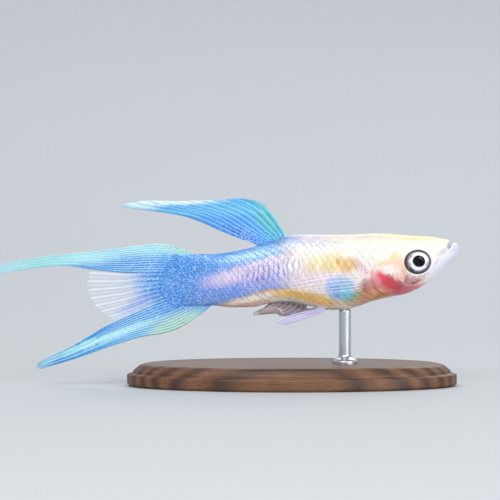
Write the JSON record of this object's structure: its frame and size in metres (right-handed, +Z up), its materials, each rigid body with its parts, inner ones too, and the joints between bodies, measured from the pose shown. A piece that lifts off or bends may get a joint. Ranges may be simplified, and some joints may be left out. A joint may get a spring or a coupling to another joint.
{
  "type": "guppy",
  "caption": "Still life-size male guppy with a long double sword tail and tall swept dorsal fin, held by a flat oval base and one short rod.",
  "frame": {"origin": "centre of the underside of the stand's base", "axes": "+X to the fish's head, +Z up, -Y to the fish's right flank"},
  "size_m": [0.0555, 0.019, 0.0216],
  "materials": {
    "skin_pale": "wet, scaled, pearly skin",
    "skin_blue": "wet, scaled, iridescent blue skin",
    "fin_blue": "wet rayed membrane, cyan blue",
    "fin_clear": "wet rayed membrane, nearly clear",
    "eye": "clear cornea over a silver iris and black pupil",
    "stand_wood": "turned walnut with a satin oil finish",
    "stand_steel": "fine brushed rod"
  },
  "bodies": {
    "root": {"head": "skin_pale", "torso": "skin_pale", "tail_stalk": "skin_blue", "dorsal_fin": "fin_blue", "tail_fin_upper_sword": "fin_blue", "tail_fin_middle": "fin_clear", "tail_fin_lower_sword": "fin_blue", "anal_fin": "fin_clear", "eye_right": "eye", "eye_left": "eye", "pelvic_fin_right": "fin_clear", "pelvic_fin_left": "fin_clear", "pectoral_fin_right": "fin_clear", "pectoral_fin_left": "fin_clear", "stand_base": "stand_wood", "stand_rod": "stand_steel"}
  },
  "joints": []
}
